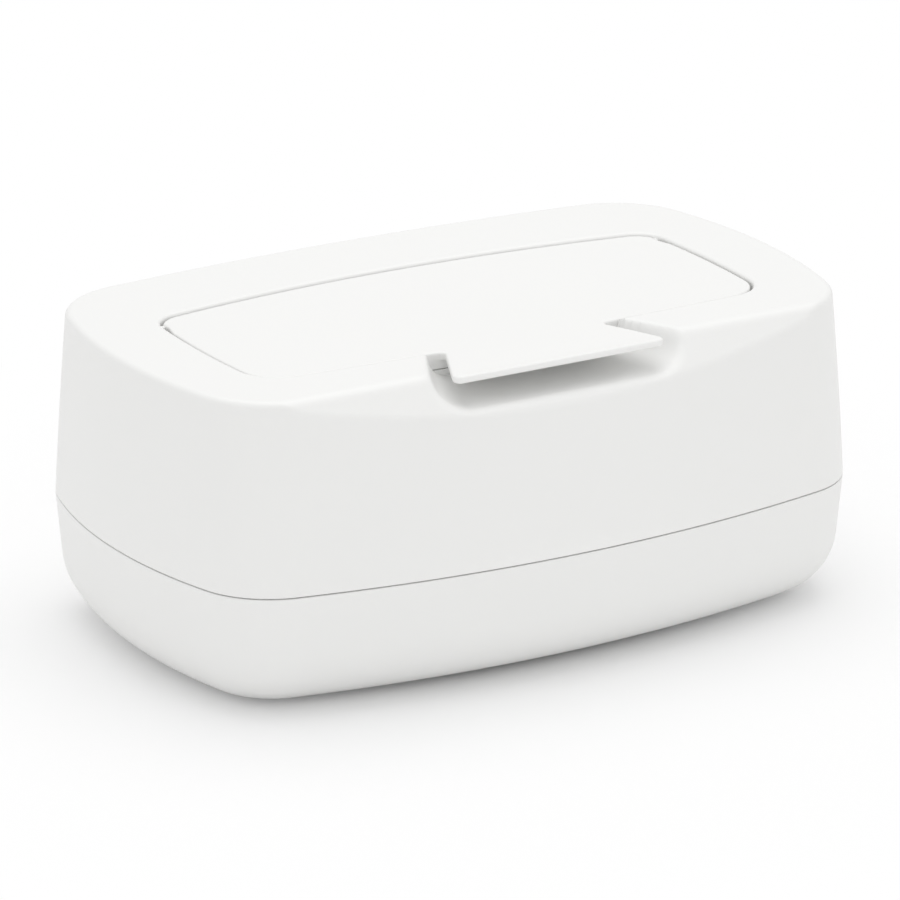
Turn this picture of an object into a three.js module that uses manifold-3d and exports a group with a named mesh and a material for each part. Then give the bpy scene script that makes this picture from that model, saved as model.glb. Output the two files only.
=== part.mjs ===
// A baby wipes box, in millimetres. A shallow tray holds the wipes, a tall cover lifts off it
// for refilling, and a flush lid in the cover's top turns up on two pins at its back. The lid's
// tongue reaches forward over a finger scoop. +Z is up, +X runs along the box, and the front
// faces -Y. The origin is the middle of the surface that the box stands on.
import * as THREE from 'three';
import { mergeVertices } from 'three/addons/utils/BufferGeometryUtils.js';
import Module from 'manifold-3d';

const wasm = await Module();
wasm.setup();

// Case outline at the parting line between tray and cover. Each quarter of an outline is an arc
// on the short side, a corner arc and an arc on the long side, and they touch smoothly.
const caseLength = 230;
const caseDepth = 149.4;
const caseLongArc = 412;
const caseShortArc = 171;
const caseCorner = 26;

// Case outline at the top of the cover
const topLength = 223;
const topDepth = 133.2;
const topLongArc = 752;
const topShortArc = 170;
const topCorner = 27.7;

// Heights and walls of the case
const trayHeight = 37.5;
const coverHeight = 57.6;
const wall = 2.2;
const topThickness = 2.4;
const floorThickness = 2.4;
const partingGap = 0.35;
const topFillet = 1.8;
const innerFillet = 3;

// Tray profile below the parting line: a drafted wall that runs into a wide rounding
const trayDraft = THREE.MathUtils.degToRad(5.3);
const trayFillet = 21;
const traySideShare = 0.87;

// Lip of the tray that stands inside the cover's skirt
const lipHeight = 7;
const lipThickness = 1.7;
const lipClearance = 0.4;
const lipChamfer = 0.6;
const lipBand = 5;
const lipSlope = 4;

// Facet across the top of the cover's front wall
const facetFromMiddle = 59.9;
const facetSlope = THREE.MathUtils.degToRad(56.8);

// Recess for the lid, in the top of the cover
const recessLength = 175;
const recessBack = 34.5;
const recessFront = 42.5;
const recessBackArc = 470;
const recessFrontArc = 1400;
const recessSideArc = 320;
const recessBackCorner = 10;
const recessFrontCorner = 13;
const recessDepth = 6;
const recessEdgeRound = 1.2;
const recessWall = 2;

// Mouth that the wipes come out of, with a standing lip that the seal closes on
const mouthFromSide = 11.5;
const mouthFromFront = 8.5;
const mouthDepth = 48;
const mouthLongArc = 700;
const mouthSideArc = 320;
const mouthCorner = 15;
const mouthLipThickness = 1.8;
const sealGap = 0.15;

// Lid, a plate with a skirt round its edge
const lidGap = 0.9;
const lidDrop = 0.6;
const lidThickness = 2.2;
const lidEdgeRound = 0.7;
const skirtHeight = 2.4;
const skirtThickness = 1.8;

// Hinge: two stub pins on the lid's skirt, in sockets of the recess's side walls
const hingeFromBack = 12.5;
const hingeDrop = 2.2;
const pinRadius = 1.1;
const pinReach = 2.6;
const socketClearance = 0.25;
const troughAhead = 6.1;
const troughDepth = 14.4;
// The lid's ends are cut in at the hinge, where they pass the recess's back corners
const reliefAhead = 3.1;
const reliefDepth = 1.05;

// Seal in a groove between two ribs under the lid
const sealWidth = 3.4;
const sealHeight = 1;
const grooveClearance = 0.15;
const ribThickness = 1.2;
const ribHeight = 1.6;

// Finger scoop in the cover, below the tongue
const scoopHalfWidth = 33;
const scoopFlare = 0.53;
const scoopDepth = 8.2;
const scoopFall = 0.1;
const scoopCorner = 6;
const scoopCornerGrowth = 0.25;
const scoopReach = 36;
const scoopIntoRecess = 1.2;

// Tongue of the lid
const tongueRootHalfWidth = 26;
const tongueTipHalfWidth = 36.5;
const tongueReach = 22.8;
const tongueThickness = 2.2;
const tongueDip = 1.3;

// Weighted plate that lies on the wipes, with the slot that they are pulled through
const plateLength = 178;
const plateDepth = 96;
const plateLongArc = 420;
const plateShortArc = 180;
const plateCorner = 16;
const plateThickness = 2.4;
const plateRimHeight = 7;
const plateRimThickness = 1.8;
const slotLength = 70;
const slotDepth = 20;
const slotLongArc = 140;
const slotSideArc = 14;
const slotCorner = 6;
const slotCollarHeight = 4.5;
const slotCollarThickness = 1.6;
const restGap = 0.05;

// Rubber feet in shallow pockets under the tray
const footRadius = 7;
const footThickness = 2.15;
const footProud = 1;
const footEdgeRound = 0.5;
const footClearance = 0.3;
const footX = 70;
const footY = 36;

// Facets per arc of a quarter outline, per rounded edge and per circle
const shortSteps = 4;
const cornerSteps = 7;
const longSteps = 6;
const roundSteps = 4;
const leanSteps = 4;
const circleSteps = 32;
const beyond = 5;
const wide = 2 * caseLength;

// Levels worked out from the heights
const partingZ = footProud + trayHeight;
const topZ = partingZ + coverHeight;
const lidTopZ = topZ - lidDrop;
const lidUnderZ = lidTopZ - lidThickness;
const ledgeZ = topZ - recessDepth;
const sealBottomZ = lidUnderZ - restGap - sealHeight;
const mouthLipZ = sealBottomZ - sealGap;
const hingeZ = topZ - hingeDrop;
const hingeY = recessBack - hingeFromBack;

const caseOutline = {
  halfLength: caseLength / 2, back: caseDepth / 2, front: caseDepth / 2, middle: 0,
  backArc: caseLongArc, frontArc: caseLongArc, sideArc: caseShortArc,
  backCorner: caseCorner, frontCorner: caseCorner,
};

const topOutline = {
  halfLength: topLength / 2, back: topDepth / 2, front: topDepth / 2, middle: 0,
  backArc: topLongArc, frontArc: topLongArc, sideArc: topShortArc,
  backCorner: topCorner, frontCorner: topCorner,
};

const recessOutline = {
  halfLength: recessLength / 2, middle: (recessBack - recessFront) / 2,
  back: (recessBack + recessFront) / 2, front: (recessBack + recessFront) / 2,
  backArc: recessBackArc, frontArc: recessFrontArc, sideArc: recessSideArc,
  backCorner: recessBackCorner, frontCorner: recessFrontCorner,
};

const mouthOutline = {
  halfLength: recessLength / 2 - mouthFromSide, middle: mouthFromFront - recessFront + mouthDepth / 2,
  back: mouthDepth / 2, front: mouthDepth / 2,
  backArc: mouthLongArc, frontArc: mouthLongArc, sideArc: mouthSideArc,
  backCorner: mouthCorner, frontCorner: mouthCorner,
};

const plateOutline = {
  halfLength: plateLength / 2, back: plateDepth / 2, front: plateDepth / 2, middle: 0,
  backArc: plateLongArc, frontArc: plateLongArc, sideArc: plateShortArc,
  backCorner: plateCorner, frontCorner: plateCorner,
};

const slotOutline = {
  halfLength: slotLength / 2, back: slotDepth / 2, front: slotDepth / 2, middle: 0,
  backArc: slotLongArc, frontArc: slotLongArc, sideArc: slotSideArc,
  backCorner: slotCorner, frontCorner: slotCorner,
};

// The outline moved inward by a distance, or outward by a negative one
function inset(outline, distance) {
  const moved = { ...outline };
  for (const name of Object.keys(outline)) {
    if (name !== 'middle') moved[name] = outline[name] - distance;
  }
  return moved;
}

// The outline a share of the way from one outline to another
function between(first, second, share) {
  const mixed = {};
  for (const name of Object.keys(first)) {
    mixed[name] = THREE.MathUtils.lerp(first[name], second[name], share);
  }
  return mixed;
}

function arcPoints(centreX, centreY, radius, from, to, steps) {
  const points = [];
  for (let step = 1; step <= steps; step++) {
    const angle = THREE.MathUtils.lerp(from, to, step / steps);
    points.push([centreX + radius * Math.cos(angle), centreY + radius * Math.sin(angle)]);
  }
  return points;
}

// A quarter outline from the middle of the short side to the middle of the long side
function quarter(halfLength, halfDepth, longArc, shortArc, corner) {
  const longCentreY = halfDepth - longArc;
  const shortCentreX = halfLength - shortArc;
  const toLong = longArc - corner;
  const toShort = shortArc - corner;
  const apart = Math.hypot(shortCentreX, longCentreY);
  const along = (toLong ** 2 - toShort ** 2 + apart ** 2) / (2 * apart);
  const aside = Math.sqrt(toLong ** 2 - along ** 2);
  const cornerX = (shortCentreX * along - longCentreY * aside) / apart;
  const cornerY = longCentreY - (longCentreY * along + shortCentreX * aside) / apart;
  const shortAngle = Math.atan2(cornerY, cornerX - shortCentreX);
  const longAngle = Math.atan2(cornerY - longCentreY, cornerX);
  return [
    [halfLength, 0],
    ...arcPoints(shortCentreX, 0, shortArc, 0, shortAngle, shortSteps),
    ...arcPoints(cornerX, cornerY, corner, shortAngle, longAngle, cornerSteps),
    ...arcPoints(0, longCentreY, longArc, longAngle, Math.PI / 2, longSteps),
  ];
}

// The outline's points at a height, counter-clockwise from above
function ring(outline, z) {
  const { halfLength, back, front, backArc, frontArc, sideArc, backCorner, frontCorner } = outline;
  const backQuarter = quarter(halfLength, back, backArc, sideArc, backCorner);
  const frontQuarter = quarter(halfLength, front, frontArc, sideArc, frontCorner);
  const points = [
    ...backQuarter,
    ...backQuarter.map(([x, y]) => [-x, y]).reverse().slice(1),
    ...frontQuarter.map(([x, y]) => [-x, -y]).slice(1),
    ...frontQuarter.map(([x, y]) => [x, -y]).reverse().slice(1, -1),
  ];
  return points.map(([x, y]) => new THREE.Vector3(x, y + outline.middle, z));
}

// Skins rings of equal counts, and closes the first and last ring with a fan
function loft(rings) {
  const count = rings[0].length;
  const points = rings.flat();
  const faces = [];
  for (let level = 0; level < rings.length - 1; level++) {
    for (let i = 0; i < count; i++) {
      const here = level * count + i;
      const next = level * count + (i + 1) % count;
      faces.push(here, next, next + count, here, next + count, here + count);
    }
  }
  const last = (rings.length - 1) * count;
  for (const [start, flipped] of [[0, true], [last, false]]) {
    const centre = new THREE.Vector3();
    points.slice(start, start + count).forEach((point) => centre.addScaledVector(point, 1 / count));
    const hub = points.push(centre) - 1;
    for (let i = 0; i < count; i++) {
      const here = start + i;
      const next = start + (i + 1) % count;
      faces.push(hub, flipped ? next : here, flipped ? here : next);
    }
  }
  const geometry = new THREE.BufferGeometry().setFromPoints(points);
  geometry.setIndex(faces);
  return geometry;
}

// Levels of a rounded edge: how far in and how far up each step of a quarter turn lies
function roundedEdge(radius) {
  const steps = [];
  for (let step = 1; step <= roundSteps; step++) {
    const turn = (Math.PI / 2) * (step / roundSteps);
    steps.push([radius * (1 - Math.cos(turn)), radius * Math.sin(turn)]);
  }
  return steps;
}

// A closed geometry as a solid that can be joined and cut
function solid(geometry) {
  const bare = geometry.clone();
  bare.deleteAttribute('normal');
  bare.deleteAttribute('uv');
  const merged = mergeVertices(bare, 1e-4);
  return new wasm.Manifold(new wasm.Mesh({
    numProp: 3,
    vertProperties: new Float32Array(merged.attributes.position.array),
    triVerts: new Uint32Array(merged.index.array),
  }));
}

function geometryOf(body) {
  const mesh = body.getMesh();
  const geometry = new THREE.BufferGeometry();
  geometry.setAttribute('position', new THREE.BufferAttribute(mesh.vertProperties, 3));
  geometry.setIndex(new THREE.BufferAttribute(mesh.triVerts, 1));
  geometry.computeVertexNormals();
  return geometry;
}

// A straight-sided block with the outline as its plan
function block(outline, bottom, top) {
  return solid(loft([ring(outline, bottom), ring(outline, top)]));
}

// A straight-sided wall that follows an outline, between two distances outward from it
function band(outline, inner, outer, bottom, top) {
  return block(inset(outline, -outer), bottom, top)
    .subtract(block(inset(outline, -inner), bottom - beyond, top + beyond));
}

function box(minimum, maximum) {
  const size = maximum.map((value, axis) => value - minimum[axis]);
  const middle = maximum.map((value, axis) => (value + minimum[axis]) / 2);
  return solid(new THREE.BoxGeometry(...size).translate(...middle));
}

function rodAlongX(radius, fromX, toX, y, z) {
  const rod = new THREE.CylinderGeometry(radius, radius, toX - fromX, circleSteps);
  rod.rotateZ(Math.PI / 2).translate((fromX + toX) / 2, y, z);
  return solid(rod);
}

// The cover's outline at a height above the parting line, where its walls lean inward
function coverOutline(z) {
  return between(caseOutline, topOutline, (z - partingZ) / coverHeight);
}

// Half the length of an outline at a given Y on its side arc
function halfLengthAt(outline, y) {
  const rise = y - outline.middle;
  return outline.halfLength - outline.sideArc + Math.sqrt(outline.sideArc ** 2 - rise ** 2);
}

// The tray's outline a distance inside the parting line's
function trayOutline(distance) {
  const narrowed = inset(caseOutline, distance);
  narrowed.halfLength = caseOutline.halfLength - distance * traySideShare;
  narrowed.backCorner = caseCorner - distance / 2;
  narrowed.frontCorner = narrowed.backCorner;
  return narrowed;
}

// Distances in from the parting line and heights of the tray's outside, from the underside up
function trayProfile(bottom, fillet) {
  const levels = [];
  const straight = partingZ - bottom - fillet * (1 - Math.sin(trayDraft));
  const centre = straight * Math.tan(trayDraft) + fillet * Math.cos(trayDraft);
  const steps = 2 * roundSteps;
  for (let step = 0; step <= steps; step++) {
    const turn = THREE.MathUtils.lerp(Math.PI / 2, trayDraft, step / steps);
    levels.push([centre - fillet * Math.cos(turn), bottom + fillet * (1 - Math.sin(turn))]);
  }
  return levels;
}

// The tray goes up its outside, over the lip and down its inside to the floor
function trayGeometry() {
  const lipOuter = wall + lipClearance;
  const lipInner = lipOuter + lipThickness;
  const outside = trayProfile(footProud, trayFillet).map(([distance, z]) => ring(trayOutline(distance), z));
  const lipTop = partingZ + lipHeight;
  const bandBottom = partingZ - lipBand;
  const inside = trayProfile(footProud + floorThickness, trayFillet - wall)
    .map(([distance, z]) => ring(inset(trayOutline(distance), wall), z));
  const lip = [
    [0, partingZ],
    [lipOuter, partingZ],
    [lipOuter, lipTop - lipChamfer],
    [lipOuter + lipChamfer, lipTop],
    [lipInner, lipTop],
    [lipInner, bandBottom],
  ].map(([distance, z]) => ring(inset(coverOutline(Math.max(z, partingZ)), distance), z));
  const slopeFoot = bandBottom - lipSlope;
  const slopeInset = (partingZ - slopeFoot) * Math.tan(trayDraft);
  const slope = ring(inset(trayOutline(slopeInset), wall), slopeFoot);
  return loft([...outside, ...lip, slope, ...inside.reverse()]);
}

function footPlaces() {
  return [[-footX, -footY], [footX, -footY], [-footX, footY], [footX, footY]];
}

function makeTray() {
  let tray = solid(trayGeometry());
  const pocketRadius = footRadius + footClearance;
  const pocketTop = footThickness + restGap;
  const pocket = new THREE.CylinderGeometry(pocketRadius, pocketRadius, 2 * pocketTop, circleSteps);
  pocket.rotateX(Math.PI / 2);
  for (const [x, y] of footPlaces()) {
    tray = tray.subtract(solid(pocket.clone().translate(x, y, 0)));
  }
  return geometryOf(tray);
}

function makeFoot() {
  const profile = [
    new THREE.Vector2(0, 0),
    new THREE.Vector2(footRadius - footEdgeRound, 0),
    new THREE.Vector2(footRadius, footEdgeRound),
    new THREE.Vector2(footRadius, footThickness),
    new THREE.Vector2(0, footThickness),
  ];
  return new THREE.LatheGeometry(profile, circleSteps).rotateX(Math.PI / 2);
}

// Everything in front of the facet's plane, with the plane moved inward by a depth
function aheadOfFacet(depth) {
  const cutter = new THREE.BoxGeometry(wide, wide, wide).translate(0, 0, wide / 2);
  cutter.rotateX(facetSlope);
  const inward = [0, Math.sin(facetSlope) * depth, -Math.cos(facetSlope) * depth];
  cutter.translate(inward[0], -facetFromMiddle + inward[1], topZ + inward[2]);
  return solid(cutter);
}

// Rings up the cover's leaning wall, a depth inside its outer face
function leaningRings(bottom, top, depth) {
  const rings = [];
  for (let step = 0; step <= leanSteps; step++) {
    const z = THREE.MathUtils.lerp(bottom, top, step / leanSteps);
    rings.push(ring(inset(coverOutline(z), depth), z));
  }
  return rings;
}

function coverOutside() {
  const sideTop = topZ - topFillet;
  const shoulder = coverOutline(sideTop);
  const rounded = roundedEdge(topFillet)
    .map(([distance, rise]) => ring(inset(shoulder, distance), sideTop + rise));
  const sides = leaningRings(partingZ + partingGap, sideTop, 0);
  return solid(loft([...sides, ...rounded])).subtract(aheadOfFacet(0));
}

function coverInside() {
  const ceiling = topZ - topThickness;
  const sideTop = ceiling - innerFillet;
  const upper = coverOutline(sideTop);
  const rounded = roundedEdge(innerFillet)
    .map(([distance, rise]) => ring(inset(upper, wall + distance), sideTop + rise));
  const skirtFoot = ring(inset(caseOutline, wall), partingZ - beyond);
  const sides = leaningRings(partingZ, sideTop, wall);
  return solid(loft([skirtFoot, ...sides, ...rounded])).subtract(aheadOfFacet(wall));
}

// U-shaped section of the scoop a distance ahead of its back wall, grown for the wall round it
function scoopSection(ahead, growth) {
  const half = scoopHalfWidth + scoopFlare * ahead + growth;
  const floor = topZ - scoopDepth - scoopFall * ahead - growth;
  const corner = scoopCorner + scoopCornerGrowth * ahead + growth;
  const right = arcPoints(half - corner, floor + corner, corner, 0, -Math.PI / 2, cornerSteps);
  const points = [[half, floor + corner], ...right];
  const left = points.map(([x, z]) => [-x, z]).reverse();
  const outline = [[half, topZ + beyond], ...points, ...left, [-half, topZ + beyond]];
  return outline.map(([x, z]) => new THREE.Vector3(x, -recessFront - ahead, z));
}

// The scoop's space, or with growth the block that its wall is cut from
function scoopBlock(growth) {
  const start = scoopSection(-scoopIntoRecess - growth, growth);
  return solid(loft([scoopSection(scoopReach, growth), start]));
}

// The recess, its trough for the lid's back edge, and its rounded upper edge
function recessSpace() {
  const straightTop = topZ - recessEdgeRound;
  const rounded = roundedEdge(recessEdgeRound)
    .map(([distance, rise]) => ring(inset(recessOutline, -distance), straightTop + rise));
  const flare = ring(inset(recessOutline, -recessEdgeRound), topZ + beyond);
  const straight = [ring(recessOutline, ledgeZ), ring(recessOutline, straightTop)];
  const upper = solid(loft([...straight, ...rounded, flare]));
  const behind = box([-wide, hingeY - troughAhead, -wide], [wide, wide, wide]);
  const trough = block(recessOutline, topZ - troughDepth, straightTop).intersect(behind);
  return upper.add(trough);
}

// The walls and floor that the recess and its trough are sunk in
function recessHousing() {
  const grown = inset(recessOutline, -recessWall);
  const upperTop = topZ - topThickness / 2;
  const shallow = block(grown, ledgeZ - recessWall, upperTop);
  const behind = box([-wide, hingeY - troughAhead - recessWall, -wide], [wide, wide, wide]);
  const deep = block(grown, topZ - troughDepth - recessWall, upperTop).intersect(behind);
  return shallow.add(deep);
}

function hingeRod(radius, reach) {
  const lidOutline = inset(recessOutline, lidGap);
  const edge = halfLengthAt(lidOutline, hingeY);
  const right = rodAlongX(radius, edge - skirtThickness, edge + reach, hingeY, hingeZ);
  const left = rodAlongX(radius, -edge - reach, -edge + skirtThickness, hingeY, hingeZ);
  return right.add(left);
}

function makeCover() {
  const outside = coverOutside();
  const mouthLip = band(mouthOutline, 0, mouthLipThickness, ledgeZ - recessWall, mouthLipZ);
  const cover = outside.subtract(coverInside())
    .add(recessHousing().intersect(outside))
    .add(scoopBlock(wall).intersect(outside))
    .subtract(scoopBlock(0))
    .subtract(recessSpace())
    .subtract(block(mouthOutline, partingZ, topZ))
    .add(mouthLip)
    .subtract(hingeRod(pinRadius + socketClearance, pinReach + beyond));
  return geometryOf(cover);
}

// The tongue bends down a little from the lid's front edge to its tip
function tongueProfile() {
  const rootY = skirtThickness - recessFront + lidGap;
  const tipY = -recessFront - tongueReach;
  const top = new THREE.QuadraticBezierCurve(
    new THREE.Vector2(rootY, lidTopZ),
    new THREE.Vector2((rootY + tipY) / 2, lidTopZ),
    new THREE.Vector2(tipY, lidTopZ - tongueDip),
  ).getPoints(cornerSteps);
  const under = top.map(({ x, y }) => new THREE.Vector2(x, y - tongueThickness)).reverse();
  const nose = tongueThickness / 2;
  const tip = arcPoints(tipY, lidTopZ - tongueDip - nose, nose, Math.PI / 2, 1.5 * Math.PI, cornerSteps);
  return new THREE.Shape([...top, ...tip.slice(0, -1).map(([y, z]) => new THREE.Vector2(y, z)), ...under]);
}

function makeTongue() {
  const side = new THREE.ExtrudeGeometry(tongueProfile(), { depth: wide, bevelEnabled: false });
  side.translate(0, 0, -wide / 2).applyMatrix4(new THREE.Matrix4().makeBasis(
    new THREE.Vector3(0, 1, 0), new THREE.Vector3(0, 0, 1), new THREE.Vector3(1, 0, 0),
  ));
  const rootY = -recessFront + beyond;
  const endY = -recessFront - tongueReach - tongueThickness;
  const flare = (tongueTipHalfWidth - tongueRootHalfWidth) / tongueReach;
  const endHalf = tongueTipHalfWidth + flare * tongueThickness;
  const plan = new THREE.Shape([
    new THREE.Vector2(-tongueRootHalfWidth, rootY),
    new THREE.Vector2(-tongueRootHalfWidth, -recessFront),
    new THREE.Vector2(-endHalf, endY),
    new THREE.Vector2(endHalf, endY),
    new THREE.Vector2(tongueRootHalfWidth, -recessFront),
    new THREE.Vector2(tongueRootHalfWidth, rootY),
  ]);
  const prism = new THREE.ExtrudeGeometry(plan, { depth: wide, bevelEnabled: false });
  return solid(side).intersect(solid(prism));
}

// The space beside the lid's ends that they have to leave clear as they turn
function hingeRelief() {
  const start = hingeY - reliefAhead;
  const half = halfLengthAt(inset(recessOutline, lidGap), start) - reliefDepth;
  const right = box([half, start, -wide], [wide, wide, wide]);
  const left = box([-wide, start, -wide], [-half, wide, wide]);
  return right.add(left);
}

function makeLid() {
  const outline = inset(recessOutline, lidGap);
  const shoulder = lidTopZ - lidEdgeRound;
  const rounded = roundedEdge(lidEdgeRound)
    .map(([distance, rise]) => ring(inset(outline, distance), shoulder + rise));
  const plate = solid(loft([ring(outline, lidUnderZ), ring(outline, shoulder), ...rounded]));
  const skirt = band(outline, -skirtThickness, 0, lidUnderZ - skirtHeight, lidUnderZ + sealGap);
  const sealInner = mouthLipThickness / 2 - sealWidth / 2 - grooveClearance;
  const sealOuter = mouthLipThickness / 2 + sealWidth / 2 + grooveClearance;
  const ribBottom = lidUnderZ - ribHeight;
  const innerRib = band(mouthOutline, sealInner - ribThickness, sealInner, ribBottom, lidUnderZ + sealGap);
  const outerRib = band(mouthOutline, sealOuter, sealOuter + ribThickness, ribBottom, lidUnderZ + sealGap);
  const lid = plate.add(skirt).subtract(hingeRelief())
    .add(innerRib).add(outerRib)
    .add(makeTongue())
    .add(hingeRod(pinRadius, pinReach));
  return geometryOf(lid);
}

function makeSeal() {
  const middle = mouthLipThickness / 2;
  const half = sealWidth / 2;
  return geometryOf(band(mouthOutline, middle - half, middle + half, sealBottomZ, lidUnderZ - restGap));
}

function makePresserPlate() {
  const bottom = footProud + floorThickness + restGap;
  const top = bottom + plateThickness;
  const plate = block(plateOutline, bottom, top);
  const rim = band(plateOutline, -plateRimThickness, 0, bottom, bottom + plateRimHeight);
  const collar = band(slotOutline, 0, slotCollarThickness, bottom, bottom + slotCollarHeight);
  const slot = block(slotOutline, bottom - beyond, top + beyond);
  return geometryOf(plate.add(rim).subtract(slot).add(collar));
}

const shellPlastic = new THREE.MeshStandardMaterial({ color: 0xf1f1ef, roughness: 0.5, metalness: 0 });
const platePlastic = new THREE.MeshStandardMaterial({ color: 0xe9e9e6, roughness: 0.55, metalness: 0 });
const sealSilicone = new THREE.MeshStandardMaterial({ color: 0xdedfdd, roughness: 0.7, metalness: 0 });
const footRubber = new THREE.MeshStandardMaterial({ color: 0xb9bab8, roughness: 0.85, metalness: 0 });

function named(name, geometry, material) {
  const mesh = new THREE.Mesh(geometry, material);
  mesh.name = name;
  return mesh;
}

const wipesBox = new THREE.Group();
wipesBox.name = 'wipes_box';
wipesBox.add(named('base_tray', makeTray(), shellPlastic));
wipesBox.add(named('upper_cover', makeCover(), shellPlastic));
wipesBox.add(named('lid', makeLid(), shellPlastic));
wipesBox.add(named('lid_seal', makeSeal(), sealSilicone));
wipesBox.add(named('presser_plate', makePresserPlate(), platePlastic));
const footNames = ['foot_front_left', 'foot_front_right', 'foot_back_left', 'foot_back_right'];
footPlaces().forEach(([x, y], index) => {
  const foot = named(footNames[index], makeFoot(), footRubber);
  foot.position.set(x, y, 0);
  wipesBox.add(foot);
});

export default wipesBox;
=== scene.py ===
# %% [markdown]
# # A baby wipes box
# The box is two white moulded shells: a shallow tray, and a tall cover that lifts off it. A flush
# lid in the cover's top turns up on two small pins, and its tongue reaches over a finger scoop.
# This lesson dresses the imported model. Its sizes are in millimetres, and the mesh is in metres.

# %% Tools and frame
import math

import bmesh
import bpy
import numpy as np
from mathutils import Matrix, Vector


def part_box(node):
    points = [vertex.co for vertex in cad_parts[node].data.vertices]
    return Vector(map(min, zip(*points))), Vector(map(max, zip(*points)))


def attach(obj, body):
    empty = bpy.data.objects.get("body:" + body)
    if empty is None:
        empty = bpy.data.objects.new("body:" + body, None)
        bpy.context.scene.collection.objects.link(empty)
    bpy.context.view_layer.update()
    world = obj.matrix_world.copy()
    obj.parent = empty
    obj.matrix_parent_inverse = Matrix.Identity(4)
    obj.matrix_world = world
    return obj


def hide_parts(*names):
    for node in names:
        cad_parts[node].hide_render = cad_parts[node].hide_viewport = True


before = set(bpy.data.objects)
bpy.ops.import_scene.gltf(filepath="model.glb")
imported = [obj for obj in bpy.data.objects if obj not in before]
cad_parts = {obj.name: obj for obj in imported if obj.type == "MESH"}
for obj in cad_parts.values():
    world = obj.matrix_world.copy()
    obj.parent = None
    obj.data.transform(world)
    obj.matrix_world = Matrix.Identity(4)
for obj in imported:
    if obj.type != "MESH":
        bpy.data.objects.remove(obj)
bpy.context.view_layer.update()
MM = 0.001
cover_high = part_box("upper_cover")[1] / MM
tray_low, tray_high = (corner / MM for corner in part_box("base_tray"))
top_z = cover_high.z
case_length = tray_high.x - tray_low.x
case_depth = tray_high.y - tray_low.y
print(f"case {case_length:.1f} by {case_depth:.1f}, top at {top_z:.1f} mm")

# %% [markdown]
# ## The outline
# Seen from above, the case is an oval with soft corners. A mould maker would draw it from arcs that
# touch smoothly: a shallow arc on each side, and a tighter one at each corner. The same few numbers,
# each moved inward or outward, give the walls, the recess, the lid and the mouth.

# %% Outlines from arcs
SHORT_STEPS, CORNER_STEPS, LONG_STEPS = 16, 26, 90


def outline(half_length, back, front, back_arc, front_arc, side_arc, back_corner, front_corner, middle=0.0):
    """The sizes of an oval whose back and front halves may differ."""
    return dict(half_length=half_length, back=back, front=front, back_arc=back_arc, front_arc=front_arc,
                side_arc=side_arc, back_corner=back_corner, front_corner=front_corner, middle=middle)


def even(half_length, half_depth, long_arc, side_arc, corner, middle=0.0):
    """An oval whose back and front are alike."""
    return outline(half_length, half_depth, half_depth, long_arc, long_arc, side_arc, corner, corner, middle)


def grown(oval, distance):
    """The oval moved outward all round."""
    return {name: size if name == "middle" else size + distance for name, size in oval.items()}


def mixed(first, second, share):
    """The oval a share of the way from the first to the second."""
    return {name: first[name] + (second[name] - first[name]) * share for name in first}


def corner_centre(half_length, half_depth, long_arc, side_arc, corner):
    """Where the corner arc's centre lies, so that it touches both of the other arcs."""
    side_x, long_y = half_length - side_arc, half_depth - long_arc
    to_side, to_long = side_arc - corner, long_arc - corner
    apart = np.hypot(side_x, long_y)
    along = (to_long**2 - to_side**2 + apart**2) / (2 * apart)
    aside = np.sqrt(to_long**2 - along**2)
    x = (side_x * along - long_y * aside) / apart
    y = long_y - (long_y * along + side_x * aside) / apart
    return side_x, long_y, x, y


def arc(x, y, radius, start, end, steps):
    """Points along an arc, without its first one."""
    angles = np.linspace(start, end, steps + 1)[1:]
    return np.column_stack([x + radius * np.cos(angles), y + radius * np.sin(angles)])


def quarter(half_length, half_depth, long_arc, side_arc, corner):
    """A quarter oval from the middle of its short side to the middle of its long side."""
    side_x, long_y, x, y = corner_centre(half_length, half_depth, long_arc, side_arc, corner)
    side_turn = math.atan2(y, x - side_x)
    long_turn = math.atan2(y - long_y, x)
    return np.vstack([[[half_length, 0.0]],
                      arc(side_x, 0, side_arc, 0, side_turn, SHORT_STEPS),
                      arc(x, y, corner, side_turn, long_turn, CORNER_STEPS),
                      arc(0, long_y, long_arc, long_turn, math.pi / 2, LONG_STEPS)])


def plan(oval):
    """All the oval's points, counter-clockwise from above."""
    back, front = (quarter(oval["half_length"], oval[half], oval[half + "_arc"], oval["side_arc"],
                           oval[half + "_corner"]) for half in ("back", "front"))
    points = np.vstack([back, (back * [-1, 1])[::-1][1:],
                        (front * [-1, -1])[1:], (front * [1, -1])[::-1][1:-1]])
    return points + [0, oval["middle"]]


def ring(oval, z):
    """The oval's points at a height, which may be one number or one for each point."""
    points = plan(oval)
    return np.column_stack([points, np.broadcast_to(z, len(points))])


def outside_by(oval, x, y):
    """How far points lie outside the oval, and less than nothing inside it."""
    across, up = np.abs(x), y - oval["middle"]
    back = up >= 0
    depth = np.where(back, oval["back"], oval["front"])
    long_arc = np.where(back, oval["back_arc"], oval["front_arc"])
    corner = np.where(back, oval["back_corner"], oval["front_corner"])
    up = np.abs(up)
    side_x, long_y, corner_x, corner_y = corner_centre(oval["half_length"], depth, long_arc,
                                                       oval["side_arc"], corner)
    on_side = np.arctan2(up, across - side_x) < np.arctan2(corner_y, corner_x - side_x)
    on_long = np.arctan2(up - long_y, across) > np.arctan2(corner_y - long_y, corner_x)
    from_side = np.hypot(across - side_x, up) - oval["side_arc"]
    from_long = np.hypot(across, up - long_y) - long_arc
    from_corner = np.hypot(across - corner_x, up - corner_y) - corner
    return np.where(on_side, from_side, np.where(on_long, from_long, from_corner))


# %% [markdown]
# ## Sizes of the shells
# Height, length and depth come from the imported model. The recess and the mouth are ovals too, and the
# cover's own outline shrinks with height, because its walls lean in.

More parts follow.
